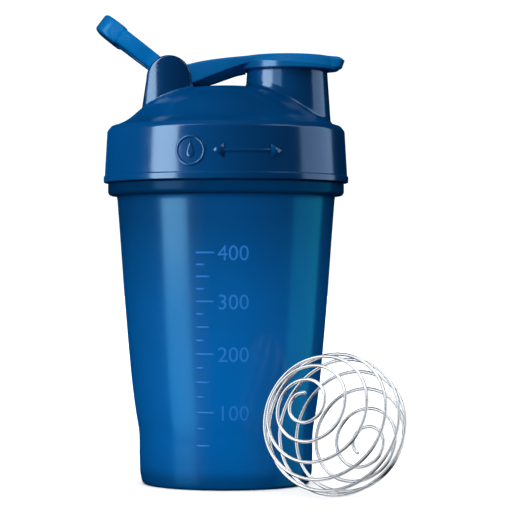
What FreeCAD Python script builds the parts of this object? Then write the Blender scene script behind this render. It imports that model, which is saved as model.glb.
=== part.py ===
import FreeCAD, Part
import math
import os
from FreeCAD import Vector

# Protein shaker bottle. Millimetres, Z up, origin at the centre of the standing face.
# +X runs from the lid hinge to the drinking spout, -Y is the side that carries the volume scale.
os.makedirs("parts", exist_ok=True)

# cup
FOOT_R = 33.4
HEEL_R = 35.7
KINK_R = 36.1
KINK_Z = 22.4
MID_R = 41.45
MID_Z = 69.0
TOP_R = 45.0
TOP_Z = 117.4
CUP_WALL = 2.0
FLOOR_Z = 3.6
FLANGE_R = 48.8
FLANGE_Z0 = 118.3
FLANGE_Z1 = 123.4
NECK_R = 45.2
NECK_BORE_R = 43.0
RIM_Z = 142.9

# screw thread, three starts
LEAD = 12.0
STARTS = 3
NECK_CREST_R = 46.6
LID_BORE_R = 47.3
LID_CREST_R = 45.6
THREAD_Z = 129.5
THREAD_STEP = 10.0

# lid
LID_Z0 = 123.7
COLLAR_R0 = 50.6
COLLAR_R1 = 49.2
DECK_Z = 144.9
PLUG_R = 42.3
DOME_TOP = 163.7
SPOUT_X = 25.3
SPOUT_R0 = 18.4
SPOUT_R1 = 16.45
SPOUT_BORE = 14.2
SPOUT_Z = 172.6

# hinge
HINGE_X = -23.2
HINGE_Z = 166.2
EAR_R = 9.2
EAR_Y0 = 11.7
EAR_Y1 = 16.6
PIN_R = 2.0
PIN_HOLE = 2.06
PIN_HALF = 14.2
EYE_R = 4.3

# flip cap
CAP_R = 20.3
CAP_TOP = 176.7
CAP_LOW = 170.0
CAP_CEIL = 174.2
ARM_HALF = 6.6

# carry loop
LOOP_ANGLE = 142.5
LOOP_END = 37.1
LOOP_LIFT = 1.7
LEG_Y0 = 7.1
LEG_Y1 = 11.3
LEG_T = 3.4
HEAD_T = 4.0

# whisk ball
BALL_C = Vector(43.0, -58.0, 28.0)
BALL_R = 27.28
WIRE_R = 0.7
BALL_TURNS = 9.4
BALL_T0 = -2.4
BALL_T1 = 180.6
BALL_CURL = 22.5
BALL_P0 = 89.3
BALL_AXIS = Vector(-0.4819, -0.8062, 0.3430)
ARCS_PER_TURN = 10


def vec(p):
    return Vector(p[0], 0, p[1])


def line(a, b):
    return Part.LineSegment(vec(a), vec(b)).toShape()


def arc(a, b, c):
    return Part.Arc(vec(a), vec(b), vec(c)).toShape()


def spline(points, start=None, end=None):
    curve = Part.BSplineCurve()
    pts = [vec(p) for p in points]
    if start and end:
        curve.interpolate(Points=pts, InitialTangent=vec(start), FinalTangent=vec(end))
    else:
        curve.interpolate(Points=pts)
    return curve.toShape()


def turned(edges, centre_x=0.0):
    wire = Part.Wire(edges)
    solid = Part.Face(wire).revolve(Vector(0, 0, 0), Vector(0, 0, 1), 360)
    solid.translate(Vector(centre_x, 0, 0))
    return Part.Solid(solid) if solid.ShapeType == "Shell" else solid


def turned_poly(points, centre_x=0.0):
    edges = [line(a, b) for a, b in zip(points, points[1:] + points[:1])]
    return turned(edges, centre_x)


def slab(points, y0, y1):
    edges = [line(a, b) for a, b in zip(points, points[1:] + points[:1])]
    face = Part.Face(Part.Wire(edges))
    face.translate(Vector(0, y0, 0))
    return face.extrude(Vector(0, y1 - y0, 0))


def slab_of(edges, y0, y1):
    face = Part.Face(Part.Wire(edges))
    face.translate(Vector(0, y0, 0))
    return face.extrude(Vector(0, y1 - y0, 0))


def ridge(start_deg, span_deg, z0, root_r, crest_r, root_w, crest_w):
    """One thread start: a trapezoid carried along a helix and faded out at both ends."""
    steps = int(round(span_deg / THREAD_STEP))
    wires = []
    for i in range(steps + 1):
        a = math.radians(start_deg + i * THREAD_STEP)
        z = z0 + LEAD * i * THREAD_STEP / 360.0
        fade = min(1.0, 0.12 + 0.5 * min(i, steps - i))
        r1 = root_r + (crest_r - root_r) * fade
        corners = [(root_r, -root_w / 2), (r1, -crest_w / 2), (r1, crest_w / 2), (root_r, root_w / 2)]
        pts = [Vector(r * math.cos(a), r * math.sin(a), z + h) for r, h in corners]
        wires.append(Part.makePolygon(pts + pts[:1]))
    return Part.makeLoft(wires, True, True)


def make_cup():
    t = CUP_WALL
    edges = [
        line((0, 1.6), (28.2, 1.6)),
        arc((28.2, 1.6), (29.0, 1.2), (29.4, 0.0)),
        line((29.4, 0.0), (FOOT_R, 0.0)),
        arc((FOOT_R, 0.0), (34.85, 0.62), (35.45, 2.1)),
        line((35.45, 2.1), (HEEL_R, 10.8)),
        line((HEEL_R, 10.8), (KINK_R, KINK_Z)),
        arc((KINK_R, KINK_Z), (MID_R, MID_Z), (TOP_R, TOP_Z)),
        arc((TOP_R, TOP_Z), (45.2, 118.1), (45.9, FLANGE_Z0)),
        arc((45.9, FLANGE_Z0), (47.95, 119.15), (FLANGE_R, 121.2)),
        line((FLANGE_R, 121.2), (FLANGE_R, 122.9)),
        arc((FLANGE_R, 122.9), (48.65, 123.25), (48.3, FLANGE_Z1)),
        line((48.3, FLANGE_Z1), (NECK_R, FLANGE_Z1)),
        line((NECK_R, FLANGE_Z1), (NECK_R, RIM_Z - 0.8)),
        arc((NECK_R, RIM_Z - 0.8), (44.97, RIM_Z - 0.23), (44.4, RIM_Z)),
        line((44.4, RIM_Z), (43.5, RIM_Z)),
        line((43.5, RIM_Z), (NECK_BORE_R, RIM_Z - 0.5)),
        line((NECK_BORE_R, RIM_Z - 0.5), (NECK_BORE_R, TOP_Z)),
        arc((NECK_BORE_R, TOP_Z), (MID_R - t, MID_Z), (KINK_R - t, KINK_Z)),
        line((KINK_R - t, KINK_Z), (HEEL_R - t, 8.6)),
        arc((HEEL_R - t, 8.6), (32.1, 5.1), (28.6, FLOOR_Z)),
        line((28.6, FLOOR_Z), (0, FLOOR_Z)),
        line((0, FLOOR_Z), (0, 1.6)),
    ]
    cup = turned(edges)
    for k in range(STARTS):
        cup = cup.fuse(ridge(120.0 * k, 150.0, THREAD_Z, NECK_R - 0.35, NECK_CREST_R, 2.3, 1.0))
    return cup.removeSplitter()


def lid_outer():
    return [
        line((COLLAR_R0, LID_Z0 + 0.3), (COLLAR_R0, 125.7)),
        arc((COLLAR_R0, 125.7), (50.5, 126.0), (50.2, 126.15)),
        line((50.2, 126.15), (COLLAR_R1, 142.8)),
        arc((COLLAR_R1, 142.8), (48.75, 145.35), (47.3, 146.9)),
        arc((47.3, 146.9), (46.2, 147.3), (45.0, 147.7)),
        spline(
            [(45.0, 147.7), (41.4, 149.3), (37.4, 152.5), (33.0, 156.2), (28.0, 159.4),
             (22.0, 161.8), (14.0, 163.2), (0, DOME_TOP)],
            (-1.0, 0.38),
            (-1.0, 0.0),
        ),
    ]


def lid_inner_curve():
    return spline(
        [(0, DOME_TOP - 2.2), (13.6, 161.0), (21.2, 159.7), (26.9, 157.5), (31.6, 154.7),
         (36.0, 151.0), (39.4, 148.0)],
        (1.0, 0.0),
        (0.8, -0.6),
    )


def dome_inside():
    """The space under the dome, used to trim what stands on it."""
    return turned([
        lid_inner_curve(),
        line((39.4, 148.0), (40.4, 146.6)),
        line((40.4, 146.6), (40.4, 120.0)),
        line((40.4, 120.0), (0, 120.0)),
        line((0, 120.0), (0, DOME_TOP - 2.2)),
    ])


def spout_outer():
    return turned([
        line((0, 146.4), (SPOUT_R0 - 0.2, 146.4)),
        line((SPOUT_R0 - 0.2, 146.4), (SPOUT_R1, SPOUT_Z - 0.6)),
        arc((SPOUT_R1, SPOUT_Z - 0.6), (SPOUT_R1 - 0.18, SPOUT_Z - 0.18), (SPOUT_R1 - 0.6, SPOUT_Z)),
        line((SPOUT_R1 - 0.6, SPOUT_Z), (0, SPOUT_Z)),
        line((0, SPOUT_Z), (0, 146.4)),
    ], SPOUT_X)


def spout_bore():
    return turned([
        line((0, 140.0), (SPOUT_BORE + 0.6, 140.0)),
        line((SPOUT_BORE + 0.6, 140.0), (SPOUT_BORE, 158.0)),
        line((SPOUT_BORE, 158.0), (SPOUT_BORE, SPOUT_Z - 0.5)),
        line((SPOUT_BORE, SPOUT_Z - 0.5), (SPOUT_BORE + 0.4, SPOUT_Z + 0.1)),
        line((SPOUT_BORE + 0.4, SPOUT_Z + 0.1), (0, SPOUT_Z + 0.1)),
        line((0, SPOUT_Z + 0.1), (0, 140.0)),
    ], SPOUT_X)


def ear_post():
    """Rounded side profile crossed with a rounded plan, split by the hinge slot."""
    side = slab_of([
        line((-35.4, 146.0), (HINGE_X - EAR_R, HINGE_Z)),
        arc((HINGE_X - EAR_R, HINGE_Z), (HINGE_X, HINGE_Z + EAR_R), (HINGE_X + EAR_R, HINGE_Z)),
        line((HINGE_X + EAR_R, HINGE_Z), (-12.3, 146.0)),
        line((-12.3, 146.0), (-35.4, 146.0)),
    ], -EAR_Y1 - 1, EAR_Y1 + 1)
    y = EAR_Y1
    plan_pts = [
        Vector(-38.0, -6.5, 140.0),
        Vector(-35.2, -11.3, 140.0),
        Vector(-30.0, -15.2, 140.0),
        Vector(-22.5, -y, 140.0),
        Vector(-15.5, -16.0, 140.0),
        Vector(-11.0, -14.6, 140.0),
    ]
    front = Part.BSplineCurve()
    front.interpolate(Points=plan_pts)
    back = Part.BSplineCurve()
    back.interpolate(Points=[Vector(p.x, -p.y, p.z) for p in reversed(plan_pts)])
    plan = Part.Wire([
        front.toShape(),
        Part.makeLine(plan_pts[-1], Vector(-11.0, 14.6, 140.0)),
        back.toShape(),
        Part.makeLine(Vector(-38.0, 6.5, 140.0), plan_pts[0]),
    ])
    post = side.common(Part.Face(plan).extrude(Vector(0, 0, 45)))
    slot = Part.makeBox(40, 2 * EAR_Y0, 40, Vector(-50, -EAR_Y0, 145))
    post = post.cut(slot)
    return post


def make_lid():
    edges = lid_outer() + [
        line((0, DOME_TOP), (0, DOME_TOP - 2.2)),
        lid_inner_curve(),
        line((39.4, 148.0), (40.4, 146.6)),
        line((40.4, 146.6), (40.7, 137.0)),
        line((40.7, 137.0), (41.6, 137.0)),
        line((41.6, 137.0), (PLUG_R, 138.6)),
        line((PLUG_R, 138.6), (PLUG_R, DECK_Z)),
        line((PLUG_R, DECK_Z), (46.9, DECK_Z)),
        line((46.9, DECK_Z), (LID_BORE_R, DECK_Z - 0.4)),
        line((LID_BORE_R, DECK_Z - 0.4), (LID_BORE_R, 126.4)),
        line((LID_BORE_R, 126.4), (48.3, 125.4)),
        line((48.3, 125.4), (48.3, LID_Z0)),
        line((48.3, LID_Z0), (COLLAR_R0 - 0.3, LID_Z0)),
        line((COLLAR_R0 - 0.3, LID_Z0), (COLLAR_R0, LID_Z0 + 0.3)),
    ]
    shell = turned(edges)
    spout = spout_outer().cut(dome_inside())
    ears = ear_post().cut(dome_inside())
    lid = shell.fuse([spout, ears])
    lid = lid.cut(spout_bore())
    for k in range(STARTS):
        root = LID_BORE_R + 0.35
        lid = lid.fuse(ridge(120.0 * k - 30.0, 110.0, THREAD_Z - 3.0, root, LID_CREST_R, 2.1, 0.9))
    blind = Part.makeCylinder(PIN_R, 2 * PIN_HALF, Vector(HINGE_X, -PIN_HALF, HINGE_Z), Vector(0, 1, 0))
    lid = lid.cut(blind)
    return lid.removeSplitter()


def make_seal_ring():
    return turned_poly([(42.7, 143.2), (46.7, 143.2), (46.7, 144.2), (46.3, 144.6), (42.7, 144.6)])


def make_cap():
    disc = turned([
        line((0, CAP_TOP), (14.0, CAP_TOP - 0.15)),
        arc((14.0, CAP_TOP - 0.15), (18.4, CAP_TOP - 0.55), (CAP_R - 0.4, CAP_TOP - 1.2)),
        line((CAP_R - 0.4, CAP_TOP - 1.2), (CAP_R, CAP_TOP - 1.8)),
        line((CAP_R, CAP_TOP - 1.8), (CAP_R - 0.3, 172.3)),
        line((CAP_R - 0.3, 172.3), (17.7, CAP_LOW)),
        line((17.7, CAP_LOW), (17.1, CAP_LOW)),
        line((17.1, CAP_LOW), (17.1, CAP_CEIL)),
        line((17.1, CAP_CEIL), (12.0, CAP_CEIL)),
        line((12.0, CAP_CEIL), (12.0, 168.2)),
        line((12.0, 168.2), (10.4, 168.2)),
        line((10.4, 168.2), (10.4, CAP_CEIL)),
        line((10.4, CAP_CEIL), (0, CAP_CEIL)),
        line((0, CAP_CEIL), (0, CAP_TOP)),
    ], SPOUT_X)
    tab = slab([
        (40.5, 176.0), (46.9, 175.8), (48.6, 175.3), (49.2, 174.3),
        (46.6, 170.2), (42.5, CAP_LOW), (42.5, 173.0), (40.5, 173.0),
    ], -8.0, 8.0)
    corner = Part.makeCylinder(17.0, 20, Vector(31.9, 0, 165), Vector(0, 0, 1))
    tab = tab.common(corner)
    beam = slab([
        (HINGE_X, 170.3), (-19.0, 171.7), (-15.3, 172.7), (-8.0, 174.3), (-2.0, 175.3), (3.0, 175.9),
        (10.0, 176.4), (10.0, 172.4), (4.0, 171.0), (-1.8, 169.1), (-7.7, 166.9), (-10.6, 165.7),
        (-17.0, 163.6), (HINGE_X, 163.2),
    ], -ARM_HALF, ARM_HALF)
    web = Part.Face(Part.makePolygon([
        Vector(-2.0, ARM_HALF, 0), Vector(4.0, 9.4, 0), Vector(8.0, 11.9, 0), Vector(12.0, 14.6, 0),
        Vector(12.0, -14.6, 0), Vector(8.0, -11.9, 0), Vector(4.0, -9.4, 0), Vector(-2.0, -ARM_HALF, 0),
        Vector(-2.0, ARM_HALF, 0),
    ])).extrude(Vector(0, 0, 200))
    web = web.common(slab([
        (-2.0, 175.3), (3.0, 175.9), (10.0, 176.4), (12.0, 176.4), (12.0, 172.4), (10.0, 172.4),
        (4.0, 171.0), (-2.0, 169.0),
    ], -16.0, 16.0))
    rib = slab([
        (-14.0, 167.0), (7.8, 173.0), (7.9, 168.8), (4.0, 168.0), (-7.2, 164.2), (-14.0, 163.4),
        (-17.0, 163.3),
    ], -3.2, 3.2)
    barrel = Part.makeCylinder(EYE_R, 2 * ARM_HALF, Vector(HINGE_X, -ARM_HALF, HINGE_Z), Vector(0, 1, 0))
    cap = disc.fuse([tab, beam, web, rib, barrel])
    hole = Part.makeCylinder(PIN_HOLE, 40, Vector(HINGE_X, -20, HINGE_Z), Vector(0, 1, 0))
    recess = Part.makeCylinder(17.1, CAP_CEIL - CAP_LOW, Vector(SPOUT_X, 0, CAP_LOW), Vector(0, 0, 1))
    boss = Part.makeCylinder(12.0, 12, Vector(SPOUT_X, 0, 165), Vector(0, 0, 1))
    return cap.cut(recess.cut(boss)).cut(hole).removeSplitter()


def make_spout_seal():
    return turned_poly([
        (12.0, CAP_CEIL), (12.0, 167.6), (12.9, 167.6), (13.5, 168.4), (13.5, 170.2),
        (13.3, 172.9), (16.4, 173.0), (16.6, CAP_CEIL),
    ], SPOUT_X)


def make_pin():
    pin = Part.makeCylinder(PIN_R, 2 * PIN_HALF, Vector(HINGE_X, -PIN_HALF, HINGE_Z), Vector(0, 1, 0))
    return pin


def loop_outline():
    """Plan of the loop along its own length, one closed ring with the finger hole."""
    outer = [(0, LEG_Y1), (10.5, LEG_Y1), (17.0, 14.0), (30.0, 15.0)]
    e = LOOP_END
    half = [Vector(x, y, 0) for x, y in outer]
    edges = []
    for a, b in zip(half, half[1:]):
        edges.append(Part.makeLine(a, b))
        edges.append(Part.makeLine(Vector(a.x, -a.y, 0), Vector(b.x, -b.y, 0)))
    edges.append(Part.Arc(Vector(30.0, 15.0, 0), Vector(e - 1.9, 11.8, 0), Vector(e, 5.5, 0)).toShape())
    edges.append(Part.Arc(Vector(30.0, -15.0, 0), Vector(e - 1.9, -11.8, 0), Vector(e, -5.5, 0)).toShape())
    edges.append(Part.makeLine(Vector(e, 5.5, 0), Vector(e, -5.5, 0)))
    edges.append(Part.makeLine(Vector(0, LEG_Y1, 0), Vector(0, -LEG_Y1, 0)))
    ring = Part.Face(Part.Wire(Part.__sortEdges__(edges)))
    hole_half = [(-1.0, LEG_Y0), (10.0, LEG_Y0), (15.0, 9.6), (25.6, 10.2), (28.2, 7.6)]
    pts = [Vector(x, y, 0) for x, y in hole_half]
    pts += [Vector(x, -y, 0) for x, y in reversed(hole_half)]
    hole = Part.Face(Part.makePolygon(pts + pts[:1]))
    return ring.cut(hole)


def make_loop():
    """Built along +X from the hinge, then turned up to its rest angle."""
    plan = loop_outline()
    body = plan.extrude(Vector(0, 0, 20))
    body.translate(Vector(0, 0, -10))
    e = LOOP_END
    side = slab_of([
        line((0, -LEG_T), (26.2, -LEG_T)),
        line((26.2, -LEG_T), (27.4, -HEAD_T)),
        line((27.4, -HEAD_T), (e - 3.4, -HEAD_T)),
        arc((e - 3.4, -HEAD_T), (e - 0.95, -HEAD_T + 1.05), (e, -0.8)),
        line((e, -0.8), (e, 0.8)),
        arc((e, 0.8), (e - 0.95, HEAD_T - 1.05), (e - 3.4, HEAD_T)),
        line((e - 3.4, HEAD_T), (27.4, HEAD_T)),
        line((27.4, HEAD_T), (26.2, LEG_T)),
        line((26.2, LEG_T), (0, LEG_T)),
        line((0, LEG_T), (0, -LEG_T)),
    ], -20, 20)
    loop = body.common(side)
    loop.translate(Vector(0, 0, -LOOP_LIFT))
    for s in (-1, 1):
        y0 = LEG_Y0 if s > 0 else -LEG_Y1
        eye = Part.makeCylinder(EYE_R, LEG_Y1 - LEG_Y0, Vector(0, y0, 0), Vector(0, 1, 0))
        loop = loop.fuse(eye)
    hole = Part.makeCylinder(PIN_HOLE, 40, Vector(0, -20, 0), Vector(0, 1, 0))
    loop = loop.cut(hole).removeSplitter()
    loop.rotate(Vector(0, 0, 0), Vector(0, 1, 0), -LOOP_ANGLE)
    loop.translate(Vector(HINGE_X, 0, HINGE_Z))
    return loop


def curl(angle):
    """Extra polar angle that keeps the last loops open near a pole."""
    return (math.hypot(angle, BALL_CURL) - angle) / 2


def ball_point(t):
    """Point on the spiral; t counts turns from the free end at the front pole."""
    axis = Vector(BALL_AXIS).normalize()
    up = Vector(0, 0, 1)
    e2 = up - axis * up.dot(axis)
    e2.normalize()
    e1 = e2.cross(axis)
    even = BALL_T0 + (BALL_T1 - BALL_T0) * t / BALL_TURNS
    th = math.radians(even + curl(even) - curl(180.0 - even))
    ph = math.radians(BALL_P0) + 2 * math.pi * t
    ring = e1 * math.cos(ph) + e2 * math.sin(ph)
    return BALL_C + (axis * math.cos(th) + ring * math.sin(th)) * BALL_R


def make_ball():
    pieces = []
    n = int(round(BALL_TURNS * ARCS_PER_TURN))
    for i in range(n):
        a = ball_point(i / ARCS_PER_TURN)
        b = ball_point((i + 0.5) / ARCS_PER_TURN)
        c = ball_point((i + 1) / ARCS_PER_TURN)
        curve = Part.Arc(a, b, c)
        edge = curve.toShape()
        tangent = curve.tangent(curve.FirstParameter)[0]
        circle = Part.makeCircle(WIRE_R, a, tangent)
        tube = Part.Wire([edge]).makePipeShell([Part.Wire([circle])], True, True)
        pieces.append(Part.Solid(tube) if tube.ShapeType == "Shell" else tube)
    return Part.makeCompound(pieces)


def save(name, shape):
    print(name, shape.isValid(), len(shape.Solids), round(shape.Volume / 1000, 3), shape.BoundBox)
    shape.exportStep("parts/" + name + ".step")


save("cup", make_cup())
save("screw_lid", make_lid())
save("lid_seal_ring", make_seal_ring())
save("flip_cap", make_cap())
save("spout_seal", make_spout_seal())
save("hinge_pin", make_pin())
save("carry_loop", make_loop())
save("whisk_ball", make_ball())
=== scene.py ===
import math

import bmesh
import bpy
import numpy as np
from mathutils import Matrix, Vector


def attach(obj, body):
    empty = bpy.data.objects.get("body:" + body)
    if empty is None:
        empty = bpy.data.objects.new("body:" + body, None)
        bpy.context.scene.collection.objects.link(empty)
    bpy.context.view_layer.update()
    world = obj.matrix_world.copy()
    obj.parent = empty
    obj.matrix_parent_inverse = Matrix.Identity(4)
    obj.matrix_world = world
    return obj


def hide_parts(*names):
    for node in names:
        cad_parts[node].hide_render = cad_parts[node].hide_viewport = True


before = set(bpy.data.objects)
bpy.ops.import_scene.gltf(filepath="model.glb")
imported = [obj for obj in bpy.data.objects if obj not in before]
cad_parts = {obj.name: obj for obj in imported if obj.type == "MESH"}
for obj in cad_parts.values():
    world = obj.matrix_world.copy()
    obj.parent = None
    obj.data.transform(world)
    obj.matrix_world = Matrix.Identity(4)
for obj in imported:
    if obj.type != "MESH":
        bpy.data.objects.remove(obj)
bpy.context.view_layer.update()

# All shape numbers are in millimetres, in the CAD's frame; add_mesh turns them into metres.
MM = 0.001
SPOUT_X = 25.3
HINGE = (-23.2, 166.2)
RAYS = 400  # points in each ring round the spout


# ---------------------------------------------------------------- small helpers
def add_mesh(name, verts, faces, body, slot):
    me = bpy.data.meshes.new(name)
    me.from_pydata([tuple(float(c) * MM for c in v) for v in verts], [], faces)
    me.validate()
    me.update()
    for poly in me.polygons:
        poly.use_smooth = True
    ob = bpy.data.objects.new(name, me)
    bpy.context.scene.collection.objects.link(ob)
    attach(ob, body)
    return ob


def outward(ob):
    """Makes the normals of every closed island point out."""
    bm = bmesh.new()
    bm.from_mesh(ob.data)
    bmesh.ops.recalc_face_normals(bm, faces=bm.faces)
    bm.to_mesh(ob.data)
    bm.free()
    return ob


def split_off(ob, name, first, last, body):
    """Makes an object of its own of the faces whose corners all lie between two vertex numbers."""
    part = ob.data.copy()
    for mesh, taken in ((ob.data, False), (part, True)):
        bm = bmesh.new()
        bm.from_mesh(mesh)
        doomed = [f for f in bm.faces if all(first <= v.index < last for v in f.verts) != taken]
        bmesh.ops.delete(bm, geom=doomed, context="FACES")
        bm.to_mesh(mesh)
        bm.free()
    other = bpy.data.objects.new(name, part)
    bpy.context.scene.collection.objects.link(other)
    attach(other, body)
    return other


def rounded(corners, closed=True, steps=6):
    """Points of a polyline whose corners (a, b, radius) are rounded off."""
    out = []
    n = len(corners)
    for i, (a, b, rad) in enumerate(corners):
        p = np.array([a, b], float)
        ends = not closed and i in (0, n - 1)
        if rad <= 0 or ends:
            out.append(tuple(p))
            continue
        u = np.array(corners[i - 1][:2], float) - p
        v = np.array(corners[(i + 1) % n][:2], float) - p
        lu, lv = np.linalg.norm(u), np.linalg.norm(v)
        u, v = u / lu, v / lv
        half = math.acos(max(-1, min(1, float(u @ v)))) / 2
        cut = min(rad / math.tan(half), 0.49 * lu, 0.49 * lv)
        rr = cut * math.tan(half)
        mid = (u + v) / np.linalg.norm(u + v)
        centre = p + mid * (rr / math.sin(half))
        s, e = p + u * cut - centre, p + v * cut - centre
        turn = math.atan2(s[0] * e[1] - s[1] * e[0], float(s @ e))
        for k in range(steps + 1):
            t = turn * k / steps
            out.append((centre[0] + s[0] * math.cos(t) - s[1] * math.sin(t),
                        centre[1] + s[0] * math.sin(t) + s[1] * math.cos(t)))
    return out


def smooth_curve(knots):
    """A smooth cubic through (x, y) knots, as a function of x; a third number in the first is its slope."""
    x = np.array([k[0] for k in knots], float)
    y = np.array([k[1] for k in knots], float)
    h = np.diff(x)
    d = np.diff(y) / h
    m = np.zeros_like(x)
    m[1:-1] = (d[:-1] * h[1:] + d[1:] * h[:-1]) / (h[1:] + h[:-1])
    m[0], m[-1] = d[0], d[-1]
    if len(knots[0]) > 2:
        m[0] = knots[0][2]

    def f(t):
        t = np.clip(np.asarray(t, float), x[0], x[-1])
        i = np.clip(np.searchsorted(x, t) - 1, 0, len(x) - 2)
        s = (t - x[i]) / h[i]
        return ((1 + 2 * s) * (1 - s) ** 2 * y[i] + s * (1 - s) ** 2 * h[i] * m[i]
                + s * s * (3 - 2 * s) * y[i + 1] + s * s * (s - 1) * h[i] * m[i + 1])
    return f


def grid_faces(rows, cols, wrap_rows=False):
    """Faces between rings of cols points each; every ring closes on itself."""
    faces = []
    for i in range(rows if wrap_rows else rows - 1):
        for j in range(cols):
            up, k = (i + 1) % rows, (j + 1) % cols
            faces.append((i * cols + j, i * cols + k, up * cols + k, up * cols + j))
    return faces


def end_caps(rows, n):
    """The first ring and the last as faces."""
    return [tuple(range(n))[::-1], tuple(range((rows - 1) * n, rows * n))]


def loft(rows):
    """A closed skin over rings of points."""
    n = len(rows[0])
    return [v for row in rows for v in row], grid_faces(len(rows), n) + end_caps(len(rows), n)


def lathe(profile, n, closed=True):
    """Turns a (radius, height) profile about z; a radius of 0 becomes one pole."""
    verts, rings = [], []
    for r, z in profile:
        if r < 1e-6:
            rings.append([len(verts)])
            verts.append((0.0, 0.0, z))
            continue
        rings.append(list(range(len(verts), len(verts) + n)))
        for j in range(n):
            a = 2 * math.pi * j / n
            verts.append((r * math.cos(a), r * math.sin(a), z))
    faces = []
    pairs = list(zip(rings, rings[1:] + rings[:1])) if closed else list(zip(rings, rings[1:]))
    for lo, hi in pairs:
        if len(lo) == 1 and len(hi) == 1:
            continue
        for j in range(n):
            k = (j + 1) % n
            if len(lo) == 1:
                faces.append((lo[0], hi[k], hi[j]))
            elif len(hi) == 1:
                faces.append((lo[j], lo[k], hi[0]))
            else:
                faces.append((lo[j], lo[k], hi[k], hi[j]))
    return verts, faces


def join(*parts):
    verts, faces = [], []
    for v, f in parts:
        base = len(verts)
        verts += list(v)
        faces += [tuple(i + base for i in face) for face in f]
    return verts, faces


def tube(points, radius, sides):
    """A round wire along points, with domed ends."""
    p = np.array(points, float)
    t = np.gradient(p, axis=0)
    t /= np.linalg.norm(t, axis=1)[:, None]
    u = np.cross(t[0], [0.3, 0.2, 0.93])
    u /= np.linalg.norm(u)
    stations = []
    for k in (0.0, 0.5, 0.8, 0.95):
        stations.append((0, -radius * math.sqrt(1 - k * k), radius * k))
    stations += [(i, 0.0, radius) for i in range(len(p))]
    for k in (0.95, 0.8, 0.5, 0.0):
        stations.append((len(p) - 1, radius * math.sqrt(1 - k * k), radius * k))
    verts, rings, last = [], [], 0
    for i, along, r in stations:
        if i != last:
            u = u - t[i] * (u @ t[i])
            u /= np.linalg.norm(u)
            last = i
        w = np.cross(t[i], u)
        c = p[i] + t[i] * along
        if r < 1e-6:
            rings.append([len(verts)])
            verts.append(tuple(c))
            continue
        rings.append(list(range(len(verts), len(verts) + sides)))
        for j in range(sides):
            a = 2 * math.pi * j / sides
            verts.append(tuple(c + u * r * math.cos(a) + w * r * math.sin(a)))
    faces = []
    for lo, hi in zip(rings, rings[1:]):
        for j in range(sides):
            k = (j + 1) % sides
            if len(lo) == 1:
                faces.append((lo[0], hi[j], hi[k]))
            elif len(hi) == 1:
                faces.append((lo[j], hi[0], lo[k]))
            else:
                faces.append((lo[j], hi[j], hi[k], lo[k]))
    return verts, faces


STARTS = 3  # of the thread
LEAD = 12.0  # its rise in one turn
RIDGE_STEP = 3.0  # degrees between the sections of a thread ridge


def ridge(start_deg, span_deg, z0, root, crest, root_w, crest_w):
    """One start of a thread, on the cup or in the lid, faded out at both ends."""
    n = int(span_deg / RIDGE_STEP)
    verts = []
    for i in range(n + 1):
        a = math.radians(start_deg + i * RIDGE_STEP)
        z = z0 + LEAD * i * RIDGE_STEP / 360.0
        fade = min(1.0, 0.1 + 0.16 * min(i, n - i))
        r1 = root + (crest - root) * fade
        for r, h in ((root, -root_w / 2), (r1, -crest_w / 2), (r1, 0), (r1, crest_w / 2), (root, root_w / 2)):
            verts.append((r * math.cos(a), r * math.sin(a), z + h))
    first, last = end_caps(n + 1, 5)
    return verts, grid_faces(n + 1, 5) + [first[::-1], last[::-1]]


# ---------------------------------------------------------------- materials
def node(tree, kind, **values):
    nd = tree.nodes.new(kind)
    for key, value in values.items():
        if key in nd.inputs:
            nd.inputs[key].default_value = value
        else:
            setattr(nd, key, value)
    return nd


def new_material(name):
    mat = bpy.data.materials.new(name)
    mat.use_nodes = True
    tree = mat.node_tree
    bsdf = tree.nodes["Principled BSDF"]
    return mat, tree, bsdf


def ramp(tree, source, stops):
    nd = tree.nodes.new("ShaderNodeValToRGB")
    el = nd.color_ramp.elements
    while len(el) < len(stops):
        el.new(0.5)
    for e, (pos, col) in zip(el, stops):
        e.position = pos
        e.color = tuple(col) + (1.0,) if len(col) == 3 else (col[0],) * 3 + (1.0,)
    tree.links.new(source, nd.inputs["Fac"])
    return nd


RAMP_TOP = 0.15  # metres; the depth and polish ramps of a material run from the foot to this height


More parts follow.
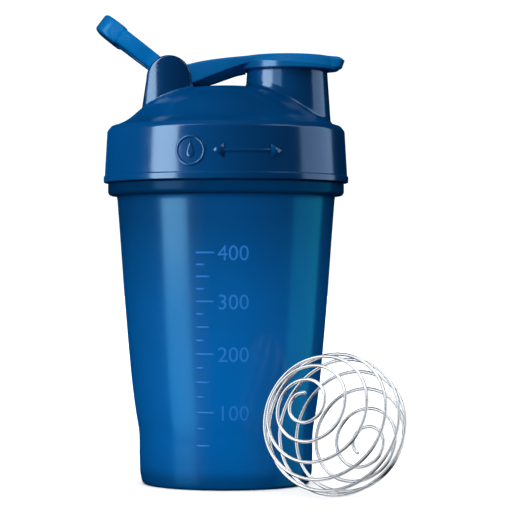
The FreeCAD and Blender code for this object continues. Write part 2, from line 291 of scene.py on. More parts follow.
def moulded_plastic(name, low, high, rough, bump, streak=0.0, depth=None, polish=None, front=0.5):
    """Moulded polypropylene: faint flow clouding, fine texture and hairline handling marks.

    low and high are the colours the clouding runs between. depth is a ramp over the height of painted shade
    that darkens the colour, polish one over the height of how strong the gloss is, and front is the gloss seen
    straight on."""
    mat, tree, bsdf = new_material(name)
    lk = tree.links
    co = node(tree, "ShaderNodeTexCoord")
    clouds = node(tree, "ShaderNodeTexNoise", Scale=38.0, Detail=3.0, Roughness=0.5)
    lk.new(co.outputs["Object"], clouds.inputs["Vector"])
    colour = ramp(tree, clouds.outputs["Fac"], [(0.3, low), (0.7, high)])
    split = node(tree, "ShaderNodeSeparateXYZ")
    lk.new(co.outputs["Object"], split.inputs["Vector"])
    level = node(tree, "ShaderNodeMath", operation="DIVIDE")
    lk.new(split.outputs["Z"], level.inputs[0])
    level.inputs[1].default_value = RAMP_TOP
    # painted shade: the depth ramp darkens the base colour by height
    if depth:
        shade_ramp = ramp(tree, level.outputs["Value"], depth)
        shaded = node(tree, "ShaderNodeMix", data_type="RGBA", blend_type="MULTIPLY")
        shaded.inputs["Factor"].default_value = 1.0
        lk.new(colour.outputs["Color"], shaded.inputs[6])
        lk.new(shade_ramp.outputs["Color"], shaded.inputs[7])
        lk.new(shaded.outputs[2], bsdf.inputs["Base Color"])
    else:
        lk.new(colour.outputs["Color"], bsdf.inputs["Base Color"])
    wear = node(tree, "ShaderNodeTexNoise", Scale=120.0, Detail=6.0, Roughness=0.65)
    lk.new(co.outputs["Object"], wear.inputs["Vector"])
    r = ramp(tree, wear.outputs["Fac"], [(0.3, (rough[0],)), (0.75, (rough[1],))])
    lk.new(r.outputs["Color"], bsdf.inputs["Roughness"])
    fine = node(tree, "ShaderNodeTexNoise", Scale=900.0, Detail=2.0, Roughness=0.5)
    lk.new(co.outputs["Object"], fine.inputs["Vector"])
    stretch = node(tree, "ShaderNodeMapping")
    stretch.inputs["Scale"].default_value = (420.0, 420.0, 9.0)
    lk.new(co.outputs["Object"], stretch.inputs["Vector"])
    hair = node(tree, "ShaderNodeTexNoise", Scale=1.0, Detail=2.0, Roughness=0.5)
    lk.new(stretch.outputs["Vector"], hair.inputs["Vector"])
    mix = node(tree, "ShaderNodeMath", operation="MULTIPLY_ADD")
    lk.new(hair.outputs["Fac"], mix.inputs[0])
    mix.inputs[1].default_value = streak
    lk.new(fine.outputs["Fac"], mix.inputs[2])
    bm = node(tree, "ShaderNodeBump", Strength=bump, Distance=0.0004)
    lk.new(mix.outputs["Value"], bm.inputs["Height"])
    lk.new(bm.outputs["Normal"], bsdf.inputs["Normal"])
    bsdf.inputs["IOR"].default_value = 1.49
    # the softboxes are far brighter than the white backdrop, so the gloss fades out towards grazing angles
    slant = node(tree, "ShaderNodeLayerWeight", Blend=0.5)
    gloss = ramp(tree, slant.outputs["Facing"], [(0.0, (front,)), (0.015, (front,)), (0.07, (0.5,)),
                                                 (0.52, (0.5,)), (0.7, (0.12,)), (0.85, (0.0,))])
    if polish:
        share = ramp(tree, level.outputs["Value"], polish)
        both = node(tree, "ShaderNodeMath", operation="MULTIPLY")
        lk.new(gloss.outputs["Color"], both.inputs[0])
        lk.new(share.outputs["Color"], both.inputs[1])
        lk.new(both.outputs["Value"], bsdf.inputs["Specular IOR Level"])
    else:
        lk.new(gloss.outputs["Color"], bsdf.inputs["Specular IOR Level"])
    return mat


def steel_material():
    mat, tree, bsdf = new_material("electropolished_steel")
    lk = tree.links
    co = node(tree, "ShaderNodeTexCoord")
    stain = node(tree, "ShaderNodeTexNoise", Scale=260.0, Detail=4.0, Roughness=0.6)
    lk.new(co.outputs["Object"], stain.inputs["Vector"])
    colour = ramp(tree, stain.outputs["Fac"], [(0.3, (0.7, 0.71, 0.73)), (0.7, (0.8, 0.81, 0.83))])
    lk.new(colour.outputs["Color"], bsdf.inputs["Base Color"])
    r = ramp(tree, stain.outputs["Fac"], [(0.3, (0.16,)), (0.7, (0.3,))])
    lk.new(r.outputs["Color"], bsdf.inputs["Roughness"])
    draw = node(tree, "ShaderNodeTexNoise", Scale=2400.0, Detail=2.0, Roughness=0.5)
    lk.new(co.outputs["Object"], draw.inputs["Vector"])
    bm = node(tree, "ShaderNodeBump", Strength=0.08, Distance=0.0001)
    lk.new(draw.outputs["Fac"], bm.inputs["Height"])
    lk.new(bm.outputs["Normal"], bsdf.inputs["Normal"])
    bsdf.inputs["Metallic"].default_value = 1.0
    return mat


def silicone_material():
    mat, tree, bsdf = new_material("silicone_seal")
    lk = tree.links
    co = node(tree, "ShaderNodeTexCoord")
    dust = node(tree, "ShaderNodeTexNoise", Scale=300.0, Detail=4.0, Roughness=0.6)
    lk.new(co.outputs["Object"], dust.inputs["Vector"])
    colour = ramp(tree, dust.outputs["Fac"], [(0.3, (0.48, 0.51, 0.54)), (0.7, (0.58, 0.61, 0.64))])
    lk.new(colour.outputs["Color"], bsdf.inputs["Base Color"])
    r = ramp(tree, dust.outputs["Fac"], [(0.3, (0.5,)), (0.7, (0.62,))])
    lk.new(r.outputs["Color"], bsdf.inputs["Roughness"])
    bm = node(tree, "ShaderNodeBump", Strength=0.1, Distance=0.0002)
    lk.new(dust.outputs["Fac"], bm.inputs["Height"])
    lk.new(bm.outputs["Normal"], bsdf.inputs["Normal"])
    bsdf.inputs["Sheen Weight"].default_value = 0.1
    return mat


# painted shade: the wall's colour is darkened at the heel, towards the shoulder and most on the flange under
# the lid's collar
WALL_PAINTED_SHADE = [(0.0, (0.42,)), (0.03, (0.55,)), (0.055, (0.8,)), (0.22, (1.0,)), (0.5, (0.84,)), (0.72, (0.5,)),
              (0.775, (0.5,)), (0.79, (0.27,)), (1.0, (0.27,))]
# and its gloss is lower on the base band and on the flange and neck
WALL_POLISH = [(0.0, (0.4,)), (0.13, (0.4,)), (0.17, (0.95,)), (0.3, (1.0,)), (0.772, (1.0,)), (0.785, (0.15,)),
               (1.0, (0.15,))]
CUP = moulded_plastic("cup_polypropylene", (0.0, 0.126, 0.44), (0.0, 0.139, 0.48), rough=(0.18, 0.22),
                      bump=0.01, streak=0.4, depth=WALL_PAINTED_SHADE, polish=WALL_POLISH, front=0.05)
LID = moulded_plastic("lid_polypropylene", (0.0, 0.042, 0.15), (0.0, 0.048, 0.17), rough=(0.14, 0.18),
                      bump=0.012)
CAP = moulded_plastic("cap_polypropylene", (0.0, 0.14, 0.42), (0.0, 0.155, 0.46), rough=(0.17, 0.24),
                      bump=0.015)
PRINT = moulded_plastic("scale_ink", (0.006, 0.18, 0.6), (0.008, 0.19, 0.63), rough=(0.34, 0.4), bump=0.02)
STEEL = steel_material()
SILICONE = silicone_material()


def dress(ob, mat):
    ob.data.materials.clear()
    ob.data.materials.append(mat)
    return ob


# ---------------------------------------------------------------- cup
CUP_WALL = 2.0
CUP_FLOOR = 3.6
FOOT = 34.6  # outer radius of the ring it stands on
cup_radius = smooth_curve([(0, 35.4), (10.8, 35.75), (22.4, 36.1), (27.4, 36.95), (40.7, 38.75), (54.0, 40.05),
                           (67.2, 41.2), (73.9, 41.75), (87.2, 42.75), (103.7, 43.95), (117.4, 45.0)])


def cup_wall(z):
    """Outer radius of the cup's wall; a soft crease marks the base band."""
    return float(cup_radius(z))


def build_cup():
    prof = [(0.0, 1.6)]
    prof += rounded([(0, 1.6, 0), (28.4, 1.6, 1.0), (29.4, 0.0, 0.7), (FOOT, 0.0, 1.5), (35.42, 4.0, 0)],
                    closed=False)[1:]
    heights = np.concatenate([np.arange(5, 21, 1.5), np.arange(21, 28, 0.5), np.arange(28, 117, 2.0)])
    prof += [(cup_wall(z), z) for z in heights]
    prof += rounded([(44.95, 116.6, 0), (45.2, 118.3, 0.8), (48.8, 118.3, 2.6), (48.8, 123.4, 0.6),
                     (45.2, 123.4, 0.3), (45.2, 142.9, 0.8), (43.0, 142.9, 0.5), (43.0, 117.4, 0)],
                    closed=False)
    prof += [(cup_wall(z) - CUP_WALL, z) for z in np.arange(115, 10, -3.0)]
    prof += rounded([(cup_wall(10) - CUP_WALL, 10, 0), (33.2, CUP_FLOOR, 5.0), (0, CUP_FLOOR, 0)], closed=False)
    solids = [lathe(prof, 256, closed=False)]
    for k in range(STARTS):
        solids.append(ridge(120.0 * k, 150.0, 129.5, 44.85, 46.6, 2.3, 1.0))
    ob = outward(add_mesh("cup_body", *join(*solids), "cup", "cup_plastic"))
    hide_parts("cup")
    return dress(ob, CUP)


cup = build_cup()


# ---------------------------------------------------------------- volume scale printed on the cup
SCALE_LEFT, DIGITS_LEFT = -11.6, -2.9  # mm round from the middle of the front
TICK_HALF = 0.45
DIGIT_HEIGHT = 6.0


def wall_point(u, z, lift):
    """A point u mm round from the middle of the front, lift mm proud of the cup's wall."""
    r = cup_wall(z)
    a = u / r
    return ((r + lift) * math.sin(a), -(r + lift) * math.cos(a), z)


def level_of(millilitres):
    """Height at which the cup holds so many millilitres."""
    z, held, step = CUP_FLOOR, 0.0, 0.1
    while held < millilitres * 1000.0:
        held += math.pi * (cup_wall(z) - CUP_WALL) ** 2 * step
        z += step
    return z


def ink_bar(u0, u1, z0, z1):
    verts = []
    n = max(2, int(abs(u1 - u0) / 1.0))
    for i in range(n + 1):
        u = u0 + (u1 - u0) * i / n
        verts += [wall_point(u, z, lift) for z, lift in ((z0, -0.2), (z1, -0.2), (z1, 0.06), (z0, 0.06))]
    first, last = end_caps(n + 1, 4)
    return verts, grid_faces(n + 1, 4) + [first[::-1], last[::-1]]


def ink_digits(text, u0, z_mid, height):
    """Digits laid on the wall, from u0 on and centred on a height."""
    curve = bpy.data.curves.new("digits", "FONT")
    curve.body = text
    curve.size = height * 1.42
    curve.extrude = 0.13
    curve.resolution_u = 5
    temp = bpy.data.objects.new("digits", curve)
    bpy.context.scene.collection.objects.link(temp)
    me = bpy.data.meshes.new_from_object(temp)
    verts = [wall_point(u0 + v.co.x, z_mid - height / 2 + v.co.y, v.co.z - 0.07) for v in me.vertices]
    faces = [tuple(poly.vertices) for poly in me.polygons]
    bpy.data.objects.remove(temp)
    bpy.data.curves.remove(curve)
    bpy.data.meshes.remove(me)
    return verts, faces


def build_scale():
    parts = []
    for ml in range(50, 425, 25):
        z = level_of(ml)
        long_tick = ml % 100 == 0
        reach = 7.6 if long_tick else (5.6 if ml % 50 == 0 else 3.6)
        parts.append(ink_bar(SCALE_LEFT, SCALE_LEFT + reach, z - TICK_HALF, z + TICK_HALF))
        if long_tick:
            parts.append(ink_digits(str(ml), DIGITS_LEFT, z, DIGIT_HEIGHT))
    return dress(outward(add_mesh("volume_scale", *join(*parts), "cup", "cup_plastic")), PRINT)


scale_print = build_scale()

# ---------------------------------------------------------------- lid
COLLAR_LOW, COLLAR_HIGH = (50.15, 126.6), (49.1, 144.9)  # radius and height at each end of its slope
SHOULDER_R, SHOULDER_IN = 45.0, 39.4  # where the dome ends, outside and inside
SPOUT_TOP = 172.6
LIP_R, LIP_Z = 16.59, 170.6  # foot of the spout's lip
BORE_R, BORE_Z, MOUTH_R = 14.2, 166.0, 14.75  # the spout's bore, and its wider mouth in the dome
dome_height = smooth_curve([(0, 163.7, 0.0), (7, 163.55), (14, 163.15), (22, 161.7), (28, 159.4), (33, 156.2),
                            (37.4, 152.5), (39.5, 150.7), (41.4, 149.4), (45.0, 147.7)])
under_height = smooth_curve([(0, 161.5, 0.0), (7, 161.4), (13.6, 161.0), (21.2, 159.7), (26.9, 157.5),
                             (31.6, 154.7), (36.0, 151.0), (39.4, 148.0)])


def spout_radius(z):
    return 16.45 + max(0.0, SPOUT_TOP - z) * 0.068


def ray_reach(theta, radius):
    """Distance from the spout's centre to a circle round the lid's axis."""
    s, c = math.sin(theta), math.cos(theta)
    return -SPOUT_X * c + math.sqrt(radius * radius - (SPOUT_X * s) ** 2)


def build_lid():
    """The lid's shell as rings round the spout's axis, from the lip over the dome and back up through the bore.

    The spout's tube is a mesh of its own, so that it can be lit by itself."""
    thetas = [2 * math.pi * j / RAYS for j in range(RAYS)]
    rings = []

    def spout_ring(radius, z):
        rings.append([(SPOUT_X + radius * math.cos(t), radius * math.sin(t), z) for t in thetas])

    def lid_ring(radius, z, blend=1.0):
        row = []
        for t in thetas:
            d0, d1 = ray_reach(t, SHOULDER_R), ray_reach(t, SHOULDER_IN)
            p0 = math.atan2(d0 * math.sin(t), SPOUT_X + d0 * math.cos(t))
            p1 = math.atan2(d1 * math.sin(t), SPOUT_X + d1 * math.cos(t))
            p = p0 + (p1 - p0) * (1 - blend)
            row.append((radius * math.cos(p), radius * math.sin(p), z))
        rings.append(row)

    lip = [(BORE_R, BORE_Z, 0), (BORE_R, SPOUT_TOP, 0.5), (16.45, SPOUT_TOP, 0.6), (LIP_R, LIP_Z, 0)]
    for r, z in rounded(lip, closed=False):
        spout_ring(r, z)
    fillet, foot = 1.6, []
    for t in thetas:
        z = 160.0
        for _ in range(4):
            r = spout_radius(z)
            z = float(dome_height(math.hypot(SPOUT_X + r * math.cos(t), r * math.sin(t)))) + fillet
        foot.append((spout_radius(z), z))
    for k in range(1, 12):
        f = k / 12
        row = []
        for t, (r, z) in zip(thetas, foot):
            d = LIP_R + (r - LIP_R) * f
            row.append((SPOUT_X + d * math.cos(t), d * math.sin(t), LIP_Z + (z - LIP_Z) * f))
        rings.append(row)
    tube_end = len(rings) - 1
    for k in range(0, 8):
        a = math.pi / 2 * k / 7
        off, lift = fillet * (1 - math.cos(a)), fillet * (1 - math.sin(a))
        row = []
        for t, (r, z) in zip(thetas, foot):
            d = r + off
            x, y = SPOUT_X + d * math.cos(t), d * math.sin(t)
            row.append((x, y, float(dome_height(math.hypot(x, y))) + lift))
        rings.append(row)
    steps = 64
    for k in range(1, steps + 1):
        f = (k / steps) ** 1.15
        row = []
        for t, (r, z) in zip(thetas, foot):
            d = (r + fillet) + (ray_reach(t, SHOULDER_R) - r - fillet) * f
            x, y = SPOUT_X + d * math.cos(t), d * math.sin(t)
            row.append((x, y, float(dome_height(math.hypot(x, y)))))
        rings.append(row)
    outer = rounded([(SHOULDER_R, 147.7, 0), (47.5, 146.95, 1.5), (*COLLAR_HIGH, 1.7), (*COLLAR_LOW, 0.25),
                     (50.6, 126.2, 0.3), (50.6, 123.7, 0.45), (48.3, 123.7, 0.3), (48.3, 125.5, 0.2),
                     (47.3, 126.5, 0.2), (47.3, 144.9, 0.4), (42.3, 144.9, 0.3), (42.3, 137.0, 0.6),
                     (40.7, 137.0, 0.4), (40.4, 146.6, 0.5), (SHOULDER_IN, 148.0, 0)], closed=False)[1:]
    dense = [outer[0]]
    for a, b in zip(outer, outer[1:]):
        n = max(1, int(math.hypot(b[0] - a[0], b[1] - a[1]) / 2.0))
        dense += [(a[0] + (b[0] - a[0]) * k / n, a[1] + (b[1] - a[1]) * k / n) for k in range(1, n + 1)]
    for i, (r, z) in enumerate(dense):
        lid_ring(r, z, 1.0 - i / (len(dense) - 1))
    for k in range(1, 33):
        f = k / 32
        row = []
        for t in thetas:
            d = ray_reach(t, SHOULDER_IN) * (1 - f) + MOUTH_R * f
            x, y = SPOUT_X + d * math.cos(t), d * math.sin(t)
            row.append((x, y, float(under_height(math.hypot(x, y)))))
        rings.append(row)
    low = rings[-1]
    for k in range(1, 8):
        f = k / 8
        d = MOUTH_R + (BORE_R - MOUTH_R) * f
        rings.append([(SPOUT_X + d * math.cos(t), d * math.sin(t), p[2] + (BORE_Z - p[2]) * f)
                      for t, p in zip(thetas, low)])
    shell = ([v for row in rings for v in row], grid_faces(len(rings), RAYS, wrap_rows=True))
    threads = [ridge(120.0 * k - 30.0, 110.0, 126.5, 47.6, 45.6, 2.1, 0.9) for k in range(STARTS)]
    ob = outward(add_mesh("lid_shell", *join(shell, *threads), "lid", "lid_plastic"))
    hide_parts("screw_lid")
    dress(ob, LID)
    return ob, split_off(ob, "spout_tube", 0, tube_end * RAYS, "lid")


lid, spout = build_lid()


# ---------------------------------------------------------------- raised signs on the collar
def collar_point(u, z, lift):
    """A point u mm round from the middle of the front, lift mm proud of the collar."""
    (r0, z0), (r1, z1) = COLLAR_LOW, COLLAR_HIGH
    r = r0 + (r1 - r0) * (z - z0) / (z1 - z0)
    a = u / r
    return ((r + lift) * math.sin(a), -(r + lift) * math.cos(a), z)


RELIEF = 0.32  # how far the signs stand proud
EDGE = 0.3  # width of their sloping edge
SIGN_Z = 134.9


def relief_ring(u, z, inner, outer, n=72):
    verts = []
    for i in range(n):
        c, s = math.cos(2 * math.pi * i / n), math.sin(2 * math.pi * i / n)
        for r, lift in ((inner, -0.4), (inner + 0.02, 0.0), (inner + EDGE, RELIEF), (outer - EDGE, RELIEF),
                        (outer - 0.02, 0.0), (outer, -0.4)):
            verts.append(collar_point(u + r * c, z + r * s, lift))
    return verts, grid_faces(n, 6, wrap_rows=True)


def relief_drop(u, z, size, n=64):
    """A drop: round below, drawn out to a point above."""
    outline = []
    for i in range(n):
        a = 2 * math.pi * i / n
        k = abs(math.sin(a / 2)) ** 1.6
        outline.append((size * 0.8 * math.sin(a) * k, -size * math.cos(a) * (1.0 if math.cos(a) < 0 else 1.35)))
    outline = [(a, -b) for a, b in outline]
    verts = []
    for scale, lift in ((1.0, -0.4), (0.99, 0.0), (0.86, RELIEF), (0.5, RELIEF), (0.1, RELIEF)):
        verts += [collar_point(u + a * scale, z + b * scale, lift) for a, b in outline]
    return verts, grid_faces(5, n) + end_caps(5, n)


def relief_arrow(u0, u1, z, shaft, head, length):
    """A double-headed arrow along the collar: the lid turns both ways."""
    half = [(0, 0.05), (length, head), (length + 0.05, shaft)]
    span = u1 - u0
    stations = [(u0 + a, h) for a, h in half]
    stations += [(u0 + length + 0.6 + (span - 2 * length - 1.2) * k / 14, shaft) for k in range(15)]
    stations += [(u0 + span - a, h) for a, h in half[::-1]]
    verts = []
    for u, h in stations:
        inset = min(EDGE, h * 0.6)
        for v, lift in ((-h, -0.4), (-h + 0.01, 0.0), (-h + inset, RELIEF),
                        (h - inset, RELIEF), (h - 0.01, 0.0), (h, -0.4)):
            verts.append(collar_point(u, z + v, lift))
    return verts, grid_faces(len(stations), 6) + end_caps(len(stations), 6)


relief = join(relief_ring(-13.6, SIGN_Z, 4.9, 6.2), relief_drop(-13.6, SIGN_Z + 0.2, 3.1),
              relief_arrow(-4.8, 23.5, SIGN_Z, 0.75, 3.0, 4.6))
signs = outward(add_mesh("collar_signs", *relief, "lid", "lid_plastic"))
dress(signs, LID)

# ---------------------------------------------------------------- hinge ears
EAR_R = 9.2
EAR_IN = 11.7  # how far its inner face is from the middle
EAR_FOOT = 146.0  # inside the dome
EAR_LEFT, EAR_RIGHT = -35.4, -12.3  # its ends at that height
# how far its outer face is from the middle, along x
ear_front = smooth_curve([(-38.0, 7.0), (-35.2, 10.6), (-33.0, 12.5), (-30.0, 14.35), (-26.0, 15.8),
                          (-22.5, 16.4), (-19.0, 16.6), (-15.5, 16.3), (-13.0, 15.8), (-11.0, 15.2)])


def ear_outline(inset):
    """The ear's side profile, inset evenly: down-left round the top to down-right."""
    hx, hz = HINGE
    pts = []
    drop = hz - EAR_FOOT
    slope_l, slope_r = (hx - EAR_LEFT - EAR_R) / drop, (EAR_RIGHT - hx - EAR_R) / drop
    for k in range(14):
        z = EAR_FOOT + drop * k / 14
        pts.append((hx - EAR_R - slope_l * (hz - z) + inset, z))
    for k in range(33):
        a = math.pi - math.pi * k / 32
        r = EAR_R - inset
        pts.append((hx + r * math.cos(a), hz + r * math.sin(a)))
    for k in range(13, -1, -1):
        z = EAR_FOOT + drop * k / 14
        pts.append((hx + EAR_R + slope_r * (hz - z) - inset, z))
    for k in range(1, 12):
        pts.append((EAR_RIGHT - inset + (EAR_LEFT - EAR_RIGHT + 2 * inset) * k / 12, EAR_FOOT))
    return pts


def build_ear(side):
    """An ear on one side: rings run over its inner face, round its edge and over its outer face."""
    centre = (-23.6, 162.0)
    rows = []
    bevel, inner_bevel = 1.1, 0.6

    def face_row(inset, depth, back):
        row = []
        for x, z in ear_outline(inset):
            y = EAR_IN + depth if back else float(ear_front(x)) - depth
            row.append((x, side * y, z))
        rows.append(row)

    def shrink_row(scale, back):
        row = []
        for x, z in ear_outline(bevel):
            x, z = centre[0] + (x - centre[0]) * scale, centre[1] + (z - centre[1]) * scale
            row.append((x, side * (EAR_IN if back else float(ear_front(x))), z))
        rows.append(row)

    for s in (0.05, 0.2, 0.4, 0.6, 0.8, 0.93):
        shrink_row(s, True)
    for k in range(6):
        a = math.pi / 2 * k / 5
        face_row(inner_bevel * (1 - math.sin(a)), inner_bevel * (1 - math.cos(a)), True)
    for k in range(6, -1, -1):
        a = math.pi / 2 * k / 6
        face_row(bevel * (1 - math.sin(a)), bevel * (1 - math.cos(a)), False)
    for s in (0.93, 0.8, 0.65, 0.5, 0.35, 0.2, 0.05):
        shrink_row(s, False)
    return loft(rows)


def ear_skirt(side):
    """The small moulded radius where an ear meets the dome."""
    rad = 1.3
    plan = rounded([(-34.2, EAR_IN, 0.2), (-33.0, 12.5, 1.0), (-30.0, 14.35, 8.0), (-26.0, 15.8, 8.0),
                    (-22.5, 16.4, 8.0), (-19.0, 16.6, 8.0), (-15.5, 16.3, 4.0), (-13.4, 15.9, 0.6),
                    (-13.4, EAR_IN, 0.5)], steps=8)
    dense = []
    for i, p in enumerate(plan):
        q = plan[(i + 1) % len(plan)]
        n = max(1, int(math.hypot(q[0] - p[0], q[1] - p[1]) / 0.5))
        dense += [(p[0] + (q[0] - p[0]) * k / n, p[1] + (q[1] - p[1]) * k / n) for k in range(n)]
    pts = np.array(dense)
    tan = np.roll(pts, -1, axis=0) - np.roll(pts, 1, axis=0)
    tan /= np.linalg.norm(tan, axis=1)[:, None]
    nor = np.stack([tan[:, 1], -tan[:, 0]], axis=1)
    mid = pts.mean(axis=0)
    if ((pts - mid) * nor).sum() < 0:
        nor = -nor
    quarter = [math.pi / 2 * k / 8 for k in range(9)]
    section = [(-0.5, rad + 0.4), (-0.08, rad + 0.05)]
    section += [(rad * (1 - math.cos(a)), rad * (1 - math.sin(a))) for a in quarter]
    section.append((rad + 0.25, -0.03))
    rows = []
    for off, lift in section:
        p = pts + nor * off
        h = dome_height(np.hypot(p[:, 0], p[:, 1]))
        rows.append([(x, side * y, z + lift) for (x, y), z in zip(p, h)])
    n = len(pts)
    faces = grid_faces(len(rows), n)
    if side < 0:
        faces = [f[::-1] for f in faces]
    return [v for row in rows for v in row], faces


ears = outward(add_mesh("hinge_ears", *join(build_ear(-1), build_ear(1)), "lid", "lid_plastic"))
dress(ears, LID)
skirts = add_mesh("ear_foot_radius", *join(ear_skirt(-1), ear_skirt(1)), "lid", "lid_plastic")
dress(skirts, LID)

# ---------------------------------------------------------------- flip cap
# the arm along x: its top, its underside, the rib's lower edge, half its width, and how far its top is crowned
arm_top = smooth_curve([(-23.2, 170.3), (-19.0, 171.65), (-15.3, 172.65), (-8.0, 174.25), (-2.0, 175.15),
                        (4.0, 175.85), (10.0, 176.3), (16.0, 176.5)])
arm_low = smooth_curve([(-23.2, 163.2), (-17.0, 163.7), (-10.6, 165.8), (-7.7, 167.0), (-1.8, 169.2),
                        (4.0, 171.1), (7.0, 171.9), (10.0, 172.4), (16.0, 172.5)])
rib_low = smooth_curve([(-23.2, 162.3), (-17.0, 163.0), (-14.0, 163.3), (-7.2, 164.2), (0.0, 166.6),
                        (4.0, 168.0), (8.1, 168.9)])
arm_half = smooth_curve([(-23.2, 6.6), (-12.0, 6.6), (-5.0, 6.7), (-2.0, 7.1), (1.0, 8.1), (4.0, 9.7),
                         (7.0, 11.6), (10.0, 13.6), (13.0, 15.6), (16.0, 17.2)])
arm_crown = smooth_curve([(-23.2, 0.0), (-10.0, 0.0), (0.0, 0.3), (8.0, 0.85), (16.0, 1.0)])
CREASE_R, CREASE_Z = 20.35, 172.5
CREASE_DIP = 1.1  # the crease round the rim runs this much higher at the arm and lower at the tab
CAP_CEILING = 174.2
CLEAR_R = 18.6  # inside the cap's side wall
TAB_HALF, TAB_FADE = 9.6, 3.4
EYE_R, EYE_HOLE = 4.3, 2.06


def tab_share(theta):
    """How much of the lifting tab there is at an angle round the cap: 1 in front, 0 beside it."""
    y = abs(20.3 * math.sin(theta))
    if math.cos(theta) < 0 or y > TAB_HALF:
        return 0.0
    f = min(1.0, (TAB_HALF - y) / TAB_FADE)
    return f * f * (3 - 2 * f)


# how far the tab stands out at a height
tab_reach = smooth_curve([(169.5, 0.9), (170.35, 1.2), (172.3, 2.3), (172.9, 2.7), (174.3, 4.0), (175.2, 3.3),
                          (175.6, 2.6), (175.9, 0.9), (176.1, 0.0)])


def cap_disc():
    """The cap's disc, and the first and last vertex number of its rim band."""
    n = 240
    rings = []
    top = [(0.4, 176.7), (4, 176.7), (8, 176.62), (12, 176.45), (15.5, 176.2), (17.8, 175.95)]
    edge = rounded([(17.8, 175.95, 0), (19.4, 175.6, 0.6), (19.85, 174.3, 0), (CREASE_R, CREASE_Z, 0.35),
                    (20.15, 170.3, 0.4), (17.1, 170.0, 0.2), (17.1, CAP_CEILING, 0.4), (12.0, CAP_CEILING, 0.2),
                    (12.0, 168.2, 0.25), (10.4, 168.2, 0.25), (10.4, CAP_CEILING, 0.3),
                    (0.4, CAP_CEILING, 0)], closed=False)[1:]
    for r, z in top + edge:
        row = []
        for j in range(n):
            t = 2 * math.pi * j / n
            rr = r
            if r > 17.3:
                rr += tab_share(t) * float(tab_reach(z))
            dip = CREASE_DIP * math.cos(t) if r > 18 and abs(z - CREASE_Z) < 0.6 else 0.0
            row.append((SPOUT_X + rr * math.cos(t), rr * math.sin(t), z - dip))
        rings.append(row)
    band = [i for i, (r, z) in enumerate(top + edge) if r > 19.6 and z < 174.5]
    return loft(rings), band[0] * n, (band[-1] + 1) * n


def bar_section(half, z0, z1, rad, n=6):
    """A rounded rectangle of points (y, z), going round once, with extra ones across its top and bottom."""
    rad = min(rad, half * 0.95, (z1 - z0) * 0.48)
    across = [((half - rad) * k / 4, z1, 0) for k in (3, 2, 1, 0, -1, -2, -3)]
    below = [((half - rad) * k / 13, z0, 0) for k in range(-12, 13)]
    sides = [(half, z0, rad), (half, z1, rad)]
    return rounded([(-half, z0, rad)] + below + sides + across + [(-half, z1, rad)], steps=n)


def swept_bar(xs, half, low, high, rad, crown):
    """A bar along x; crown is how far the top's long edges lie below its middle."""
    rows = []
    for x in xs:
        h, z0, z1, fall = float(half(x)), float(low(x)), float(high(x)), float(crown(x))
        row = []
        for y, z in bar_section(h, z0, z1, rad):
            if z > (z0 + z1) / 2:
                z -= fall * (y / h) ** 2
            if math.hypot(x - SPOUT_X, y) < CLEAR_R:
                z = max(z, CAP_CEILING + 0.4)  # the cap's recess stays open under the arm's end
            row.append((x, y, z))
        rows.append(row)
    return loft(rows)


def barrel(y0, y1):
    """An eye round the hinge axis."""
    prof = rounded([(EYE_HOLE, y0, 0.15), (EYE_R, y0, 0.5), (EYE_R, y1, 0.5), (EYE_HOLE, y1, 0.15)], steps=5)
    verts, faces = lathe(prof, 72)
    return [(HINGE[0] + x, z, HINGE[1] + y) for x, y, z in verts], faces


def build_cap():
    """The cap in four meshes, since its rim is lit by itself and its rib by nothing but the surroundings."""
    arm = swept_bar(np.linspace(-20.6, 15.6, 74), arm_half, arm_low, arm_top, 1.0, arm_crown)
    keel = []
    for x in np.linspace(-20.2, 8.1, 44):
        low, high = float(rib_low(x)), float(arm_low(x))
        edge = min(float(arm_half(x)) - 1.2, 9.0)
        section = rounded([(-edge, high + 1.0, 0), (-edge, high + 0.2, 0.3), (-2.2, low, 1.6), (2.2, low, 1.6),
                           (edge, high + 0.2, 0.3), (edge, high + 1.0, 0)], closed=False, steps=5)
        keel.append([(x, y, z) for y, z in section])
    skin, first, last = cap_disc()
    disc = outward(add_mesh("flip_cap_disc", *skin, "cap", "cap_plastic"))
    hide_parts("flip_cap")
    rim = split_off(disc, "flip_cap_rim", first, last, "cap")
    bar = outward(add_mesh("flip_cap_arm", *join(arm, barrel(-6.6, 6.6)), "cap", "cap_plastic"))
    rib = outward(add_mesh("flip_cap_rib", *loft(keel), "cap", "cap_plastic"))
    dress(rib, CAP)
    return dress(disc, CAP), dress(rim, CAP), dress(bar, CAP)


cap, cap_rim, cap_arm = build_cap()

# ---------------------------------------------------------------- carry loop
LOOP_ANGLE = math.radians(142.5)
LOOP_LIFT = 1.7  # how far its middle plane lies off the hinge axis


def catmull(points, per=8):
    """A smooth run through rows of numbers."""
    p = np.array(points, float)
    out = []
    for i in range(len(p) - 1):
        a = p[max(i - 1, 0)]
        b, c = p[i], p[i + 1]
        d = p[min(i + 2, len(p) - 1)]
        for k in range(per):
            t = k / per
            out.append(0.5 * (2 * b + (c - a) * t + (2 * a - 5 * b + 4 * c - d) * t * t
                              + (3 * b - a - 3 * c + d) * t ** 3))
    out.append(p[-1])
    return np.array(out)


